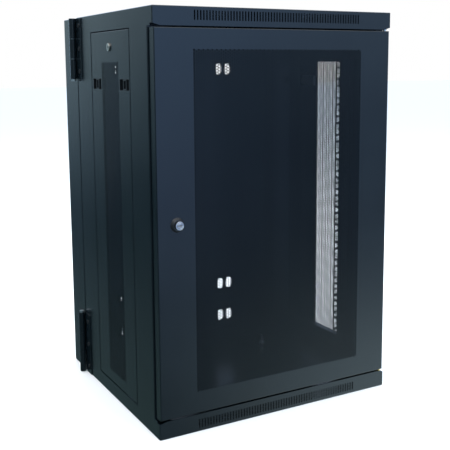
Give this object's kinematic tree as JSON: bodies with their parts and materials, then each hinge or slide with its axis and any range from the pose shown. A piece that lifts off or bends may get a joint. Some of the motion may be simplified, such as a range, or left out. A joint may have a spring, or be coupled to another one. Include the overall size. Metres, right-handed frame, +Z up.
{
  "type": "network rack cabinet",
  "caption": "Wall-mount network rack cabinet with a perforated lockable front door, lift-off side panels and a hinged wall frame.",
  "frame": {"origin": "centre of the footprint, on the surface that the main body stands on, midway between the front of the caps and the wall plane", "axes": "+X to the right seen from the front, the front door faces -Y, the wall plane is at +Y, +Z up"},
  "size_m": [0.6199, 0.5624, 0.9],
  "materials": {
    "black_powder": "satin black powder coat, fine texture",
    "zinc": "bright zinc plate",
    "black_screws": "black oxide",
    "brass_washer": "plain brass",
    "chrome_trim": "bright nickel or chrome plate",
    "black_rubber": "matte",
    "black_plastic": "fine spark texture",
    "spring_wire": "bright spring wire"
  },
  "bodies": {
    "cabinet": {"top_cap": "black_powder", "bottom_cap": "black_powder", "top_cable_cover": "black_powder", "bottom_cable_cover": "black_powder", "front_left_post": "black_powder", "front_right_post": "black_powder", "rear_left_post": "black_powder", "rear_right_post": "black_powder", "left_depth_beams": "black_powder", "right_depth_beams": "black_powder", "rear_crossrails": "black_powder", "front_left_rack_rail": "black_powder", "front_right_rack_rail": "black_powder", "front_rail_bolts": "zinc", "corner_gussets": "black_powder", "ground_stud": "zinc", "wall_lock_keeper": "black_powder", "upper_hinge_body_leaf": "black_powder", "lower_hinge_body_leaf": "black_powder", "hinge_leaf_screws": "black_screws"},
    "front_door": {"door_panel": "black_powder", "door_mesh": "black_powder", "door_stiffeners": "black_powder", "door_hinge_brackets": "black_powder", "door_hinge_pin_bottom": "zinc", "door_hinge_washer": "brass_washer", "door_pin_spring": "spring_wire", "door_bumpers": "black_rubber", "door_lock_barrel": "chrome_trim", "door_lock_escutcheon": "black_plastic", "door_lock_nut": "zinc"},
    "door_lock": {"door_lock_plug": "chrome_trim", "door_lock_cam": "zinc"},
    "door_top_pin": {"door_hinge_pin_top": "zinc"},
    "rear_rails": {"rear_left_rack_rail": "black_powder", "rear_right_rack_rail": "black_powder", "rear_rail_bolts": "zinc"},
    "wall_frame": {"wall_frame_ring": "black_powder", "wall_back_plate": "black_powder", "wall_cable_grommet": "black_rubber", "wall_lock_barrel": "chrome_trim", "upper_hinge_wall_leaf": "black_powder", "lower_hinge_wall_leaf": "black_powder"},
    "wall_lock": {"wall_lock_plug": "chrome_trim"},
    "upper_pin": {"upper_hinge_pin": "zinc"},
    "lower_pin": {"lower_hinge_pin": "zinc"},
    "left_side_panel": {"left_panel": "black_powder", "left_panel_mesh": "black_powder", "left_panel_lock_barrel": "chrome_trim", "left_latch_trays": "black_plastic"},
    "left_panel_lock": {"left_panel_lock_plug": "chrome_trim"},
    "left_front_latch": {"left_latch_front": "black_plastic"},
    "left_rear_latch": {"left_latch_rear": "black_plastic"},
    "right_side_panel": {"right_panel": "black_powder", "right_panel_mesh": "black_powder", "right_panel_lock_barrel": "chrome_trim", "right_latch_trays": "black_plastic"},
    "right_panel_lock": {"right_panel_lock_plug": "chrome_trim"},
    "right_front_latch": {"right_latch_front": "black_plastic"},
    "right_rear_latch": {"right_latch_rear": "black_plastic"}
  },
  "joints": [
    {"name": "door_swing", "type": "hinge", "parent": "cabinet", "child": "front_door", "pos_m": [0.29, -0.266, 0.45], "axis": [0, 0, 1], "range_deg": [0, 170]},
    {"name": "door_lock_turn", "type": "hinge", "parent": "front_door", "child": "door_lock", "pos_m": [-0.252, -0.275, 0.458], "axis": [0, 1, 0], "range_deg": [-90, 0]},
    {"name": "door_pin_slide", "type": "slide", "parent": "front_door", "child": "door_top_pin", "axis": [0, 0, 1], "range_m": [-0.012, 0], "stiffness_N_per_m": 900, "springref_m": 0.012, "deforming": ["door_pin_spring"]},
    {"name": "rear_rail_slide", "type": "slide", "parent": "cabinet", "child": "rear_rails", "axis": [0, 1, 0], "range_m": [-0.082, 0.043]},
    {"name": "wall_frame_swing", "type": "hinge", "parent": "cabinet", "child": "wall_frame", "pos_m": [-0.309, 0.185, 0.45], "axis": [0, 0, 1], "range_deg": [0, 105]},
    {"name": "wall_lock_turn", "type": "hinge", "parent": "wall_frame", "child": "wall_lock", "pos_m": [0.3, 0.215, 0.45], "axis": [1, 0, 0], "range_deg": [-90, 0]},
    {"name": "upper_pin_slide", "type": "slide", "parent": "wall_frame", "child": "upper_pin", "axis": [0, 0, 1], "range_m": [-0.03, 0], "stiffness_N_per_m": 600, "springref_m": 0.015},
    {"name": "lower_pin_slide", "type": "slide", "parent": "wall_frame", "child": "lower_pin", "axis": [0, 0, 1], "range_m": [0, 0.03], "stiffness_N_per_m": 600, "springref_m": -0.015},
    {"name": "left_panel_lift_off", "type": "slide", "parent": "cabinet", "child": "left_side_panel", "axis": [-1, 0, 0], "range_m": [0, 0.2]},
    {"name": "left_panel_lock_turn", "type": "hinge", "parent": "left_side_panel", "child": "left_panel_lock", "pos_m": [-0.3, -0.037, 0.824], "axis": [1, 0, 0], "range_deg": [0, 90]},
    {"name": "left_front_latch_slide", "type": "slide", "parent": "left_side_panel", "child": "left_front_latch", "axis": [0, 1, 0], "range_m": [0, 0.008], "stiffness_N_per_m": 300, "springref_m": -0.006},
    {"name": "left_rear_latch_slide", "type": "slide", "parent": "left_side_panel", "child": "left_rear_latch", "axis": [0, 1, 0], "range_m": [-0.008, 0], "stiffness_N_per_m": 300, "springref_m": 0.006},
    {"name": "right_panel_lift_off", "type": "slide", "parent": "cabinet", "child": "right_side_panel", "axis": [1, 0, 0], "range_m": [0, 0.2]},
    {"name": "right_panel_lock_turn", "type": "hinge", "parent": "right_side_panel", "child": "right_panel_lock", "pos_m": [0.3, -0.037, 0.824], "axis": [1, 0, 0], "range_deg": [0, 90]},
    {"name": "right_front_latch_slide", "type": "slide", "parent": "right_side_panel", "child": "right_front_latch", "axis": [0, 1, 0], "range_m": [0, 0.008], "stiffness_N_per_m": 300, "springref_m": -0.006},
    {"name": "right_rear_latch_slide", "type": "slide", "parent": "right_side_panel", "child": "right_rear_latch", "axis": [0, 1, 0], "range_m": [-0.008, 0], "stiffness_N_per_m": 300, "springref_m": 0.006}
  ]
}
